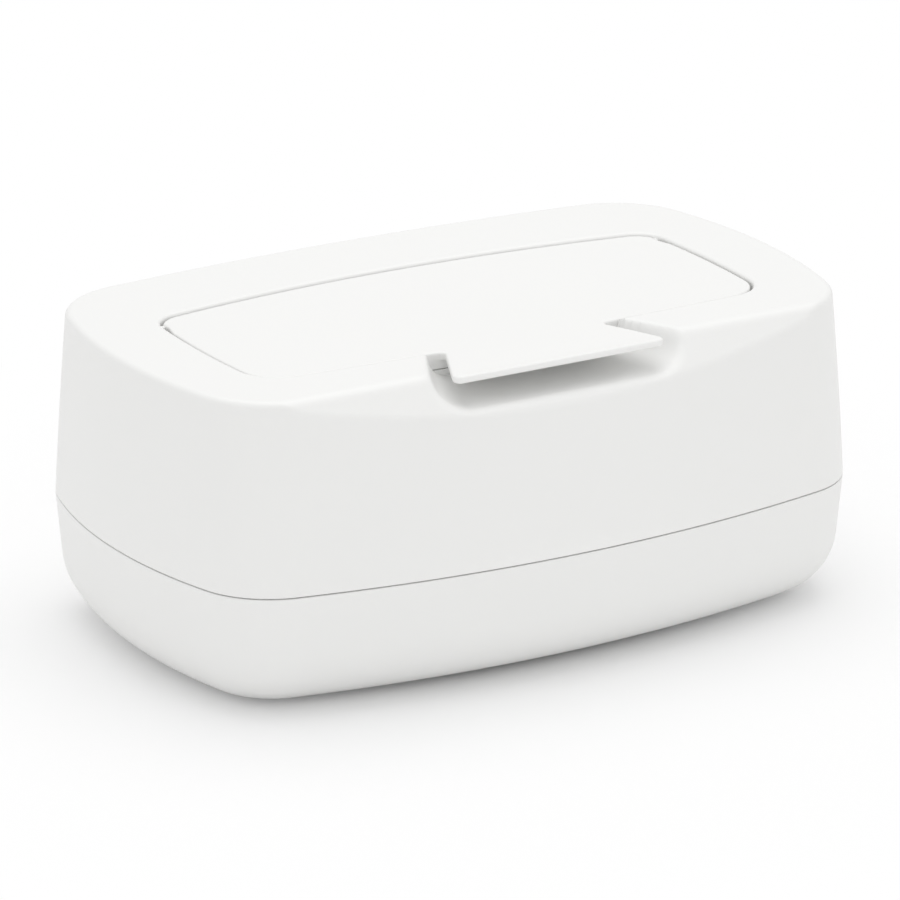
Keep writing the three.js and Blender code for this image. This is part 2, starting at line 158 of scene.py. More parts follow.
# %% Sizes of the shells
WALL = 2.2
TRAY_HEIGHT, FOOT_PROUD, PARTING_GAP = 37.5, 1.0, 0.35
parting_z = FOOT_PROUD + TRAY_HEIGHT
cover_height = top_z - parting_z
MOUTH_HALF_LENGTH, MOUTH_HALF_DEPTH, MOUTH_FROM_FRONT = 76, 24, 8.5
case_outline = even(case_length / 2, case_depth / 2, long_arc=412, side_arc=171, corner=26)
top_outline = even(half_length=111.5, half_depth=66.6, long_arc=752, side_arc=170, corner=27.7)
RECESS_LENGTH, RECESS_BACK, RECESS_FRONT, RECESS_DEPTH, RECESS_ROUND = 175, 34.5, 42.5, 6.0, 1.2
recess_half = (RECESS_BACK + RECESS_FRONT) / 2
recess_outline = outline(RECESS_LENGTH / 2, recess_half, recess_half, back_arc=470, front_arc=1400,
                         side_arc=320, back_corner=10, front_corner=13, middle=RECESS_BACK - recess_half)
mouth_outline = even(MOUTH_HALF_LENGTH, MOUTH_HALF_DEPTH, long_arc=700, side_arc=320, corner=15,
                     middle=MOUTH_HALF_DEPTH + MOUTH_FROM_FRONT - RECESS_FRONT)


def cover_outline(z):
    """The cover's outline at a height, where its walls lean inward."""
    return mixed(case_outline, top_outline, (z - parting_z) / cover_height)


print(f"parting line at {parting_z:.1f} mm, {len(plan(case_outline))} points round each ring")

# %% [markdown]
# ## Rings of vertices
# A moulded shell is easiest to shape as a stack of rings. A circle gives the first ring, each next
# one is extruded from the last and set down on its own outline, and the ends are filled flat. The
# quads then run with the form, so the long soft reflections stay clean.

# %% Ring helpers
def loop_edges(bm, loop):
    """The edges between the vertices of a closed ring."""
    return [bm.edges.get(pair) for pair in zip(loop, loop[1:] + loop[:1])]


def first_ring(bm, points):
    """A closed ring of vertices at the given points."""
    circle = bmesh.ops.create_circle(bm, cap_ends=False, radius=1.0, segments=len(points))["verts"]
    for vertex, point in zip(circle, points):
        vertex.co = Vector(point) * MM
    return circle


def next_ring(bm, ring_before, points):
    """Extrudes a ring and sets the copy down at new points."""
    made = bmesh.ops.extrude_edge_only(bm, edges=loop_edges(bm, ring_before))["geom"]
    copies = {part for part in made if isinstance(part, bmesh.types.BMVert)}
    moved = []
    for vertex, point in zip(ring_before, points):
        neighbours = (edge.other_vert(vertex) for edge in vertex.link_edges)
        copy = next(neighbour for neighbour in neighbours if neighbour in copies)
        copy.co = Vector(point) * MM
        moved.append(copy)
    return moved


def stack(bm, rings, start_filled=True, end_filled=True, closed=False):
    """Skins a list of rings, and fills its ends or joins the last ring to the first."""
    first = first_ring(bm, rings[0])
    current = first
    for points in rings[1:]:
        current = next_ring(bm, current, points)
    if closed:
        bmesh.ops.bridge_loops(bm, edges=loop_edges(bm, first) + loop_edges(bm, current))
        return
    for loop, filled in ((first, start_filled), (current, end_filled)):
        if filled:
            bmesh.ops.edgeloop_fill(bm, edges=loop_edges(bm, loop))


def finish_mesh(bm, name, material, body, sharp_deg=38, outward=True):
    """Turns a bmesh into a smooth-shaded piece that rides on one body of the frame."""
    if outward:
        bmesh.ops.recalc_face_normals(bm, faces=bm.faces)
    for face in bm.faces:
        face.smooth = True
    for edge in bm.edges:
        edge.smooth = not edge.is_manifold or edge.calc_face_angle(0) < math.radians(sharp_deg)
    mesh = bpy.data.meshes.new(name)
    bm.to_mesh(mesh)
    bm.free()
    piece = bpy.data.objects.new(name, mesh)
    bpy.context.scene.collection.objects.link(piece)
    mesh.materials.append(material)
    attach(piece, body)
    print(f"{name}: {len(mesh.polygons)} faces")
    return piece


def round_steps(radius, steps):
    """How far in and how far up a quarter-round edge goes at each step."""
    turns = np.linspace(0, math.pi / 2, steps + 1)[1:]
    return [(radius * (1 - math.cos(turn)), radius * math.sin(turn)) for turn in turns]


# %% [markdown]
# ## Shader maths
# Plastic, silicone and rubber differ mostly in how rough they are and in a very fine surface grain.
# A small class wraps a node socket, so that the maths of a finish reads like any other expression.

# %% Sockets that can be added and multiplied
class Value:
    """A node socket with arithmetic."""

    def __init__(self, tree, socket):
        self.tree, self.socket = tree, socket

    def maths(self, operation, first, second):
        node = self.tree.nodes.new("ShaderNodeMath")
        node.operation = operation
        for slot, operand in zip(node.inputs, (first, second)):
            if isinstance(operand, Value):
                self.tree.links.new(operand.socket, slot)
            else:
                slot.default_value = operand
        return Value(self.tree, node.outputs[0])

    def __radd__(self, other):
        return self.maths("ADD", other, self)

    def __sub__(self, other):
        return self.maths("SUBTRACT", self, other)

    def __mul__(self, other):
        return self.maths("MULTIPLY", self, other)

    def __rmul__(self, other):
        return self.maths("MULTIPLY", other, self)


class Finish:
    """A material, and one method that adds any node to it."""

    def __init__(self, name):
        self.material = bpy.data.materials.new(name)
        self.material.use_nodes = True
        self.tree = self.material.node_tree
        self.tree.nodes.clear()

    def add(self, kind, settings=None, output=0, **inputs):
        node = self.tree.nodes.new(kind)
        for name, setting in (settings or {}).items():
            setattr(node, name, setting)
        for name, given in inputs.items():
            slot = node.inputs[name.replace("_", " ")]
            if isinstance(given, Value):
                self.tree.links.new(given.socket, slot)
            else:
                slot.default_value = given
        return Value(self.tree, node.outputs[output]) if node.outputs else node

    def surface(self, shader):
        self.add("ShaderNodeOutputMaterial", Surface=shader)
        return self.material


DRIFT_SCALE, GRAIN_STRENGTH = 14.0, 0.35


def moulded(name, colour, roughness, variation, grain_scale, grain_height):
    """A plain moulded finish with a little unevenness in its gloss and a fine grain."""
    finish = Finish(name)
    place = finish.add("ShaderNodeTexCoord", output=3)
    drift = finish.add("ShaderNodeTexNoise", Vector=place, Scale=DRIFT_SCALE, Detail=2.0)
    grain = finish.add("ShaderNodeTexNoise", Vector=place, Scale=grain_scale, Detail=3.0)
    bump = finish.add("ShaderNodeBump", Height=grain, Strength=GRAIN_STRENGTH, Distance=grain_height * MM)
    body = finish.add("ShaderNodeBsdfPrincipled", Base_Color=(*colour, 1.0), Normal=bump,
                      Roughness=roughness + variation * (drift - 0.5))
    return finish.surface(body)


shell_plastic = moulded("shell plastic", (0.86, 0.86, 0.848), roughness=0.42, variation=0.10,
                        grain_scale=1500.0, grain_height=0.02)
plate_plastic = moulded("plate plastic", (0.80, 0.80, 0.78), roughness=0.5, variation=0.10,
                        grain_scale=1100.0, grain_height=0.03)
seal_silicone = moulded("seal silicone", (0.72, 0.73, 0.72), roughness=0.62, variation=0.05,
                        grain_scale=900.0, grain_height=0.02)
foot_rubber = moulded("foot rubber", (0.46, 0.47, 0.46), roughness=0.8, variation=0.05,
                      grain_scale=1300.0, grain_height=0.05)
print("four finishes made")

# %% [markdown]
# ## The tray
# The tray's wall is drafted so that it leaves the mould, and it runs into a wide rounding at the
# bottom. The stack of rings goes up the outside, over the lip that stands inside the cover, and down
# the inside to the floor, as one closed skin.

# %% Tray
TRAY_DRAFT, TRAY_FILLET, TRAY_SIDE_SHARE, FLOOR = math.radians(5.3), 21.0, 0.87, 2.4
LIP_HEIGHT, LIP_THICKNESS, LIP_CLEARANCE, LIP_BAND, LIP_SLOPE = 7.0, 1.7, 0.4, 5.0, 4.0
PARTING_ROUND, LIP_ROUND, EASE, SHELF = 0.32, 0.6, 0.3, 0.2
BOWL_STEPS, FLOOR_STEPS, WALL_STEPS, EDGE_STEPS, LIP_STEPS = 22, 18, 7, 4, 3
FLAT_RINGS = (12, 4, 1)


def tray_outline(distance):
    """The tray's outline a distance inside the parting line's."""
    oval = grown(case_outline, -distance)
    oval["half_length"] = case_length / 2 - distance * TRAY_SIDE_SHARE
    oval["back_corner"] = oval["front_corner"] = case_outline["back_corner"] - distance / 2
    return oval


def tray_levels(bottom, fillet, steps):
    """Distances inside the parting line, and heights, from the flat bottom up to the straight wall."""
    straight = parting_z - bottom - fillet * (1 - math.sin(TRAY_DRAFT))
    centre = straight * math.tan(TRAY_DRAFT) + fillet * math.cos(TRAY_DRAFT)
    turns = np.linspace(math.pi / 2, TRAY_DRAFT, steps)
    return [(centre - fillet * math.cos(turn), bottom + fillet * (1 - math.sin(turn))) for turn in turns]


def tray_rings():
    """The tray's rings, from the middle of its underside round to the middle of its floor."""
    levels = tray_levels(FOOT_PROUD, TRAY_FILLET, BOWL_STEPS)
    flat = [(levels[0][0] + extra, FOOT_PROUD) for extra in FLAT_RINGS]
    outside = [ring(tray_outline(distance), z) for distance, z in flat + levels]
    top, lip_top = parting_z - PARTING_ROUND, parting_z + LIP_HEIGHT
    for z in np.linspace(levels[-1][1], top, WALL_STEPS)[1:]:
        outside.append(ring(tray_outline((parting_z - z) * math.tan(TRAY_DRAFT)), z))
    edge = [ring(grown(case_outline, -distance), top + rise)
            for distance, rise in round_steps(PARTING_ROUND, EDGE_STEPS)]
    lip_out = WALL + LIP_CLEARANCE
    lip_in = lip_out + LIP_THICKNESS
    shelf = [(lip_out - SHELF, parting_z), (lip_out, parting_z), (lip_out, parting_z + EASE),
             (lip_out, lip_top - LIP_ROUND)]
    shelf += [(lip_out + distance, lip_top - LIP_ROUND + rise)
              for distance, rise in round_steps(LIP_ROUND, LIP_STEPS)]
    shelf += [(lip_in - EASE, lip_top), (lip_in, lip_top - EASE), (lip_in, parting_z),
              (lip_in, parting_z - LIP_BAND)]
    lip = [ring(grown(cover_outline(max(z, parting_z)), -distance), z) for distance, z in shelf]
    foot = parting_z - LIP_BAND - LIP_SLOPE
    foot_ring = ring(grown(tray_outline((parting_z - foot) * math.tan(TRAY_DRAFT)), -WALL), foot)
    floor = tray_levels(FOOT_PROUD + FLOOR, TRAY_FILLET - WALL, FLOOR_STEPS)
    floor_flat = [(floor[0][0] + extra, FOOT_PROUD + FLOOR) for extra in FLAT_RINGS]
    inside = [ring(grown(tray_outline(distance), -WALL), z) for distance, z in floor_flat + floor]
    return outside + edge + lip + [foot_ring] + inside[::-1]


bm = bmesh.new()
stack(bm, tray_rings())
tray = finish_mesh(bm, "tray_shell", shell_plastic, "tray")
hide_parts("base_tray")

# %% [markdown]
# ## The cover's form
# The cover's upper part is a flat top, leaning walls, a flat facet across the front and a scoop sunk
# into it, and each meets the next in a soft rounding. Each surface is written as a distance, and a
# rounded maximum joins two distances with a fillet. A vertex at any place in the plan then drops to
# the height where the joined distance is nothing.

# %% Distances and fillets
FACET_FROM_MIDDLE, FACET_SLOPE = 59.9, math.radians(56.8)
TOP_ROUND, FACET_ROUND, SCOOP_ROUND = 1.8, 0.45, 1.6
SCOOP_HALF, SCOOP_FLARE, SCOOP_DEPTH, SCOOP_FALL = 33.0, 0.53, 8.2, 0.1
SCOOP_CORNER, SCOOP_CORNER_GROWTH, SCOOP_LEAN, SCOOP_INTO_RECESS = 6.0, 0.25, 0.14, 1.2
BAND, BAND_MARGIN, HALVINGS, HAIR = 26.0, 2, 34, 0.01


def rounded_max(first, second, radius):
    """The larger of two distances, with a fillet where they are nearly alike."""
    beyond = np.hypot(np.maximum(first + radius, 0), np.maximum(second + radius, 0))
    return np.minimum(-radius, np.maximum(first, second)) + beyond


def outside_scoop(x, y, z):
    """How far points lie outside the scoop's space."""
    ahead = -RECESS_FRONT - y
    half = SCOOP_HALF + SCOOP_FLARE * ahead + (z - top_z) * SCOOP_LEAN
    floor = top_z - SCOOP_DEPTH - SCOOP_FALL * ahead
    side = (np.abs(x) - half) / math.hypot(1, SCOOP_FLARE)
    corner = SCOOP_CORNER + SCOOP_CORNER_GROWTH * np.maximum(ahead, 0)
    channel = rounded_max(side, floor - z, corner)
    return np.maximum(channel, -SCOOP_INTO_RECESS - ahead)


def outside_cover(x, y, z):
    """How far points lie outside the cover's upper part."""
    lean = math.cos(math.atan2(case_depth / 2 - top_outline["back"], cover_height))
    wall = outside_by(cover_outline(z), x, y) * lean
    facet = -(y + FACET_FROM_MIDDLE) * math.sin(FACET_SLOPE) + (z - top_z) * math.cos(FACET_SLOPE)
    front = rounded_max(rounded_max(wall, facet, FACET_ROUND), z - top_z, TOP_ROUND)
    return rounded_max(front, -outside_scoop(x, y, z), SCOOP_ROUND)


def settled(points):
    """The heights at which the cover's surface lies, over points in the plan."""
    x, y = points[:, 0], points[:, 1]
    under, over = np.full(len(x), top_z - (BAND + BAND_MARGIN)), np.full(len(x), top_z + HAIR)
    for _ in range(HALVINGS):
        middle = (under + over) / 2
        out = outside_cover(x, y, middle) > 0
        over, under = np.where(out, middle, over), np.where(out, under, middle)
    return (under + over) / 2


# %% [markdown]
# ## The cover's skin
# The rings start inside the skirt's foot, go up the wall and over the edge, and cross the rim to the
# recess. Across the rim each ring lies a share of the way between two outlines, so its points stay in
# line with both edges. The last rings turn down into the recess. The cover's inside, its ledge and
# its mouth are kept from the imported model: only the faces that the new skin stands for are deleted.

# %% Cover
LOWER_STEPS, BAND_STEPS, TOP_STEPS, RIM_STEPS, RECESS_STEPS = 12, 30, 6, 40, 5
SKIRT_INSIDE, SCOOP_SEEN, WALL_SHARES = 4, 1.0, (0.25, 0.5, 0.75, 1.0)
SKIN_DEPTH, NEAR_WALL, NEAR_BACK, NEAR_LEDGE, NEAR_FOOT = 0.9, 0.35, 0.05, 0.02, 0.2
WELD = 0.005


def cover_rings():
    """The cover's rings, from inside the skirt's foot to the foot of the recess's wall."""
    foot = parting_z + PARTING_GAP
    rings = [ring(grown(case_outline, -WALL), foot + SKIRT_INSIDE),
             ring(grown(case_outline, -WALL), foot + EASE), ring(grown(case_outline, -WALL + EASE), foot)]
    for distance, rise in round_steps(PARTING_ROUND, EDGE_STEPS)[::-1]:
        rings.append(ring(grown(case_outline, -distance), foot + PARTING_ROUND - rise))
    for z in np.linspace(foot + PARTING_ROUND, top_z - BAND, LOWER_STEPS):
        rings.append(ring(cover_outline(z), z))
    shoulder = top_z - TOP_ROUND
    plans = [plan(cover_outline(z)) for z in np.linspace(top_z - BAND, shoulder, BAND_STEPS)[1:]]
    plans += [plan(grown(cover_outline(shoulder), -distance))
              for distance, _ in round_steps(TOP_ROUND, TOP_STEPS)]
    outer, inner = plans[-1], plan(grown(recess_outline, RECESS_ROUND))
    plans += [outer + (inner - outer) * share for share in np.linspace(0, 1, RIM_STEPS + 1)[1:]]
    rings += [np.column_stack([points, settled(points)]) for points in plans]
    rim = rings[-1][:, 2]
    scooped = rim < top_z - SCOOP_SEEN
    for rise, distance in round_steps(RECESS_ROUND, RECESS_STEPS):
        points = plan(grown(recess_outline, RECESS_ROUND - distance))
        rings.append(np.column_stack([points, np.where(scooped, settled(points), top_z - rise)]))
    wall_foot = plan(recess_outline)
    back = -RECESS_FRONT + SCOOP_INTO_RECESS
    ledge = top_z - RECESS_DEPTH
    floor = rings[-1][:, 2]
    for share in WALL_SHARES:
        z = np.where(scooped, floor, top_z - RECESS_ROUND + share * (ledge - top_z + RECESS_ROUND))
        y = np.where(scooped, wall_foot[:, 1] + share * (back - wall_foot[:, 1]), wall_foot[:, 1])
        rings.append(np.column_stack([wall_foot[:, 0], y, z]))
    # Behind the scoop the last ring drops to the ledge. Elsewhere it lies a hair from the one before.
    last = rings[-1].copy()
    last[:, 2] = np.where(scooped, ledge, last[:, 2])
    last[:, 1] = np.where(scooped, last[:, 1], last[:, 1] + HAIR)
    return rings + [last]


def keep_inner_faces(bm):
    """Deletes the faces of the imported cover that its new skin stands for."""
    covered = []
    for face in bm.faces:
        x, y, z = (np.array([value]) for value in face.calc_center_median() / MM)
        from_recess = outside_by(recess_outline, x, y)[0]
        ledge = top_z - RECESS_DEPTH
        near_skin = outside_cover(x, y, z)[0] > -SKIN_DEPTH
        on_scoop_back = y[0] < NEAR_BACK + SCOOP_INTO_RECESS - RECESS_FRONT and z[0] < ledge - NEAR_LEDGE
        in_recess = from_recess < -NEAR_WALL and not on_scoop_back
        on_recess_wall = abs(from_recess) < NEAR_WALL and z[0] > ledge + NEAR_BACK
        below = z[0] < parting_z + PARTING_GAP + NEAR_FOOT
        if (near_skin and not in_recess) or on_recess_wall or below:
            covered.append(face)
    bmesh.ops.delete(bm, geom=covered, context="FACES")


bm = bmesh.new()
stack(bm, cover_rings(), start_filled=False, end_filled=False)
bmesh.ops.recalc_face_normals(bm, faces=bm.faces)
inside = bmesh.new()
inside.from_mesh(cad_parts["upper_cover"].data)
bmesh.ops.remove_doubles(inside, verts=inside.verts, dist=WELD * MM)
keep_inner_faces(inside)
kept = bpy.data.meshes.new("cover_inside")
inside.to_mesh(kept)
inside.free()
bm.from_mesh(kept)
cover = finish_mesh(bm, "cover_shell", shell_plastic, "cover", outward=False)
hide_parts("upper_cover")

# %% [markdown]
# ## The lid
# The lid is one flat plate with the tongue in the same outline, so its edge rounding runs on along
# the tongue without a break. The outline is the recess's, moved in by the gap, with the tongue's
# flared sides and small arcs let into its front.

# %% Lid outline
LID_GAP, LID_DROP, LID_THICKNESS, LID_ROUND = 0.9, 0.6, 2.2, 0.7
TONGUE_ROOT, TONGUE_TIP, TONGUE_REACH, TONGUE_DIP = 26.0, 36.5, 22.8, 0.1
TONGUE_SETBACK, TONGUE_BOW, TONGUE_CROWN = 2.4, 0.6, 0.3
TONGUE_ROOT_ROUND, TONGUE_TIP_ROUND = 1.4, 2.2
HINGE_FROM_BACK, HINGE_DROP, PIN_RADIUS, PIN_REACH = 12.5, 2.2, 1.1, 2.6
RELIEF_AHEAD, RELIEF_DEPTH, RELIEF_SPARE, RELIEF_RAMP = 3.1, 1.05, 0.3, 5.0
TIP_STEPS, ROOT_STEPS, FRONT_POINTS, FRONT_BAND, ROOT_SPARE = 8, 6, 40, 6, 0.3
ALONG_FRONT = (20, 0.05)
lid_top = top_z - LID_DROP
lid_under = lid_top - LID_THICKNESS


def fillet(corner, before, after, radius, steps):
    """Points of an arc that rounds a corner between two straight runs."""
    corner, before, after = (np.array(place, float) for place in (corner, before, after))
    to_before = (before - corner) / np.linalg.norm(before - corner)
    to_after = (after - corner) / np.linalg.norm(after - corner)
    half = math.acos(np.clip(to_before @ to_after, -1, 1)) / 2
    bisector = (to_before + to_after) / np.linalg.norm(to_before + to_after)
    centre = corner + bisector * radius / math.sin(half)
    start = corner + to_before * radius / math.tan(half) - centre
    end = corner + to_after * radius / math.tan(half) - centre
    turn = math.atan2(start[0] * end[1] - start[1] * end[0], start @ end)
    angles = math.atan2(start[1], start[0]) + np.linspace(0, turn, steps + 1)
    return centre + radius * np.column_stack([np.cos(angles), np.sin(angles)])


def relieved(points):
    """Cuts an outline's ends in from the hinge back, where they pass the recess's corners."""
    start = RECESS_BACK - HINGE_FROM_BACK - RELIEF_AHEAD
    lid_points = plan(grown(recess_outline, -LID_GAP))
    half = lid_points[lid_points[:, 1] > start, 0].max() - RELIEF_DEPTH
    limit = half + np.maximum(start - points[:, 1], 0) * (RELIEF_DEPTH + RELIEF_SPARE) / RELIEF_RAMP
    cut = np.clip(points[:, 0], -limit, limit)
    return np.column_stack([cut, points[:, 1:]])


def lid_plan():
    """The lid's outline with its tongue, counter-clockwise from above."""
    edge = relieved(plan(grown(recess_outline, -LID_GAP)))
    front_y = edge[:, 1].min()
    flare = (TONGUE_TIP - TONGUE_ROOT) / TONGUE_REACH
    tip = (TONGUE_TIP, -RECESS_FRONT - TONGUE_REACH - LID_THICKNESS / 2 + TONGUE_SETBACK + TONGUE_BOW)
    root = (TONGUE_TIP + flare * (tip[1] - front_y), front_y)
    bow_angle = 2 * TONGUE_BOW / TONGUE_TIP
    inward = (0, tip[1] - TONGUE_TIP * bow_angle)
    outward = (root[0] + ALONG_FRONT[0], front_y + ALONG_FRONT[1])
    right = np.vstack([fillet(tip, inward, root, TONGUE_TIP_ROUND, TIP_STEPS),
                       fillet(root, tip, outward, TONGUE_ROOT_ROUND, ROOT_STEPS)])
    left = (right * [-1, 1])[::-1]
    across = np.linspace(left[-1][0], right[0][0], FRONT_POINTS)[1:-1]
    bow = (1 - (across / right[0][0]) ** 2) * right[0][0] * bow_angle / 2
    front = np.column_stack([across, right[0][1] - bow])
    start = int(np.argmax((edge[:, 1] < recess_outline["middle"]) & (edge[:, 0] > left[0][0])))
    on_front = edge[:, 1] < -RECESS_FRONT + FRONT_BAND
    keep = ~(on_front & (np.abs(edge[:, 0]) < right[-1][0] + ROOT_SPARE))
    order = np.roll(edge, -start, axis=0)[np.roll(keep, -start)]
    return np.vstack([left, front, right, order])


def moved_in(points, distance):
    """A closed outline moved inward along its own normals."""
    along = np.roll(points, -1, axis=0) - np.roll(points, 1, axis=0)
    along /= np.linalg.norm(along, axis=1)[:, None]
    return points + distance * np.column_stack([-along[:, 1], along[:, 0]])


lid_edge = lid_plan()
print(f"lid outline of {len(lid_edge)} points, front at {lid_edge[:, 1].min():.1f} mm")

# %% [markdown]
# ## The plate, skirt, ribs and pins
# The plate is a stack of rings again. Planes then cut it across the tongue, so that there are
# vertices to bend the tongue by. The skirt and the two ribs are walls along an oval, and the pins are
# cylinders. In front the skirt reaches nearly to the ledge, as no light shows there in the photo.

# %% Lid
SKIRT_HEIGHT, SKIRT_THICKNESS, RIB_THICKNESS, RIB_HEIGHT = 2.4, 1.8, 1.2, 1.6
SKIRT_DROP, DROP_FROM, DROP_RAMP, SKIRT_FOOT = 0.65, -30, 6, 0.3
UNDER_RINGS, TOP_RINGS, UNDER_STEPS, UPPER_STEPS, FLAT_ABOVE = (1.4, 0.9), (1.0, 1.3), 5, 6, 1.05
TONGUE_CUTS, PAST_TIP, TONGUE_BLEND, INTO_PLATE, SKIRT_GAP = 16, 0.4, 2, 0.5, 0.02
PIN_SEGMENTS, WALL_EDGE, SEAL_EDGE = 40, 0.25, 0.35
MOUTH_LIP, SEAL_WIDTH, SEAL_HEIGHT, GROOVE_CLEARANCE, REST_GAP = 1.8, 3.4, 1.0, 0.15, 0.05


def at(points, z):
    """Plan points set at a height."""
    return np.column_stack([points, np.broadcast_to(z, len(points))])


def wall_band(bm, oval, inner, outer, bottom, top, edge=WALL_EDGE, cut=np.array):
    """A closed wall that follows an oval, with its four edges eased."""
    corners = [(inner, bottom + edge), (inner, top - edge), (inner + edge, top), (outer - edge, top),
               (outer, top - edge), (outer, bottom + edge), (outer - edge, bottom), (inner + edge, bottom)]
    stack(bm, [cut(ring(grown(oval, distance), z)) for distance, z in corners], closed=True)


bm = bmesh.new()
on_tongue = np.clip((-RECESS_FRONT - lid_edge[:, 1]) / TONGUE_BLEND, 0, 1)
plate = [at(moved_in(lid_edge, distance), lid_under) for distance in UNDER_RINGS]
for distance, rise in round_steps(LID_ROUND, UNDER_STEPS)[::-1]:
    plate.append(at(lid_edge + (moved_in(lid_edge, distance) - lid_edge) * on_tongue[:, None],
                    lid_under + (LID_ROUND - rise) * on_tongue))
plate.append(at(lid_edge, lid_under + LID_ROUND * FLAT_ABOVE))
for distance, rise in [(0, 0)] + round_steps(LID_ROUND, UPPER_STEPS):
    plate.append(at(moved_in(lid_edge, distance), lid_top - LID_ROUND + rise))
plate += [at(moved_in(lid_edge, distance), lid_top) for distance in TOP_RINGS]
stack(bm, plate)
root_y = SKIRT_THICKNESS - RECESS_FRONT + LID_GAP
tip_y = -RECESS_FRONT - TONGUE_REACH
for y in np.linspace(root_y, tip_y - PAST_TIP, TONGUE_CUTS):
    geometry = bm.verts[:] + bm.edges[:] + bm.faces[:]
    bmesh.ops.bisect_plane(bm, geom=geometry, plane_co=(0, y * MM, 0), plane_no=(0, 1, 0))
for vertex in bm.verts:
    share = max((vertex.co.y / MM - root_y) / (tip_y - root_y), 0)
    crown = TONGUE_CROWN * (vertex.co.x / MM / TONGUE_TIP) ** 2
    vertex.co.z -= (TONGUE_DIP + crown) * MM * share**2
groove_inner = (MOUTH_LIP - SEAL_WIDTH) / 2 - GROOVE_CLEARANCE
groove_outer = (MOUTH_LIP + SEAL_WIDTH) / 2 + GROOVE_CLEARANCE
lid_outline = grown(recess_outline, -LID_GAP - SKIRT_GAP)
wall_band(bm, lid_outline, -SKIRT_THICKNESS, 0, lid_under - SKIRT_HEIGHT, lid_under + INTO_PLATE,
          cut=relieved)
ribs = (groove_inner - RIB_THICKNESS, groove_inner), (groove_outer, groove_outer + RIB_THICKNESS)
for inner, outer in ribs:
    wall_band(bm, mouth_outline, inner, outer, lid_under - RIB_HEIGHT, lid_under + INTO_PLATE)
hinge_y, hinge_z = RECESS_BACK - HINGE_FROM_BACK, top_z - HINGE_DROP
for vertex in bm.verts:
    low_front = vertex.co.z < (lid_under - SKIRT_HEIGHT + SKIRT_FOOT) * MM
    vertex.co.z -= SKIRT_DROP * MM * low_front * min(max(DROP_FROM - vertex.co.y / MM, 0) / DROP_RAMP, 1)
pin_length = PIN_REACH + SKIRT_THICKNESS
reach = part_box("lid")[1].x / MM
for side in (-1, 1):
    pin = bmesh.ops.create_cone(bm, cap_ends=True, segments=PIN_SEGMENTS, radius1=PIN_RADIUS * MM,
                                radius2=PIN_RADIUS * MM, depth=pin_length * MM)["verts"]
    bmesh.ops.rotate(bm, verts=pin, matrix=Matrix.Rotation(math.pi / 2, 3, "Y"))
    centre = side * (reach - pin_length / 2)
    bmesh.ops.translate(bm, verts=pin, vec=Vector((centre, hinge_y, hinge_z)) * MM)
lid = finish_mesh(bm, "lid_plate", shell_plastic, "lid")
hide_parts("lid")

# %% [markdown]
# ## The seal
# The seal is a soft silicone ring between the two ribs. It follows the mouth's outline, so the same
# wall along an oval makes it, with wider eased edges than the plastic's.

# %% Seal
bm = bmesh.new()
seal_top = lid_under - REST_GAP
half_seal = SEAL_WIDTH / 2
wall_band(bm, mouth_outline, MOUTH_LIP / 2 - half_seal, MOUTH_LIP / 2 + half_seal,
          seal_top - SEAL_HEIGHT, seal_top, edge=SEAL_EDGE)
seal = finish_mesh(bm, "seal_ring", seal_silicone, "lid", sharp_deg=60)
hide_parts("lid_seal")

# %% [markdown]
# ## The presser plate
# The plate lies on the wipes. It is a shallow pan with a slot in a raised collar. Its section runs
# once round, from the slot over the collar, deck and rim and back below, so it is one closed skin.

# %% Presser plate
PLATE_THICKNESS, PLATE_RIM, PLATE_RIM_THICKNESS, PLATE_EDGE = 2.4, 7.0, 1.8, 0.6
COLLAR, COLLAR_THICKNESS = 4.5, 1.6
CHAMFER, HOLD, UNDER_HOLD = 0.18, 1.2, 1
plate_outline = even(half_length=89, half_depth=48, long_arc=420, side_arc=180, corner=16)
slot_outline = even(half_length=35, half_depth=10, long_arc=140, side_arc=14, corner=6)
plate_z = FOOT_PROUD + FLOOR + REST_GAP
deck = plate_z + PLATE_THICKNESS


def plate_rings():
    """Round the plate's section, from the slot's foot over collar, deck and rim to the underside."""
    edge = PLATE_EDGE
    collar_top, rim_top = plate_z + COLLAR, plate_z + PLATE_RIM
    near_slot = [(0, plate_z + edge), (0, collar_top - edge), (CHAMFER, collar_top - CHAMFER),
                 (edge, collar_top), (COLLAR_THICKNESS - edge, collar_top),
                 (COLLAR_THICKNESS - CHAMFER, collar_top - CHAMFER), (COLLAR_THICKNESS, collar_top - edge),
                 (COLLAR_THICKNESS, deck + edge), (COLLAR_THICKNESS + CHAMFER, deck + CHAMFER),
                 (COLLAR_THICKNESS + edge, deck), (COLLAR_THICKNESS + HOLD, deck)]
    near_rim = [(-PLATE_RIM_THICKNESS - HOLD, deck), (-PLATE_RIM_THICKNESS - edge, deck),
                (-PLATE_RIM_THICKNESS - CHAMFER, deck + CHAMFER), (-PLATE_RIM_THICKNESS, deck + edge),
                (-PLATE_RIM_THICKNESS, rim_top - edge), (CHAMFER - PLATE_RIM_THICKNESS, rim_top - CHAMFER),
                (edge - PLATE_RIM_THICKNESS, rim_top), (-edge, rim_top), (-CHAMFER, rim_top - CHAMFER),
                (0, rim_top - edge), (0, plate_z + edge), (-CHAMFER, plate_z + CHAMFER), (-edge, plate_z),
                (-edge - UNDER_HOLD, plate_z)]
    below_slot = [(edge + UNDER_HOLD, plate_z), (edge, plate_z)]
    rings = [ring(grown(slot_outline, distance), z) for distance, z in near_slot]
    rings += [ring(grown(plate_outline, distance), z) for distance, z in near_rim]
    return rings + [ring(grown(slot_outline, distance), z) for distance, z in below_slot]


bm = bmesh.new()
stack(bm, plate_rings(), closed=True)
presser = finish_mesh(bm, "presser_pan", plate_plastic, "tray", sharp_deg=60)
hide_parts("presser_plate")

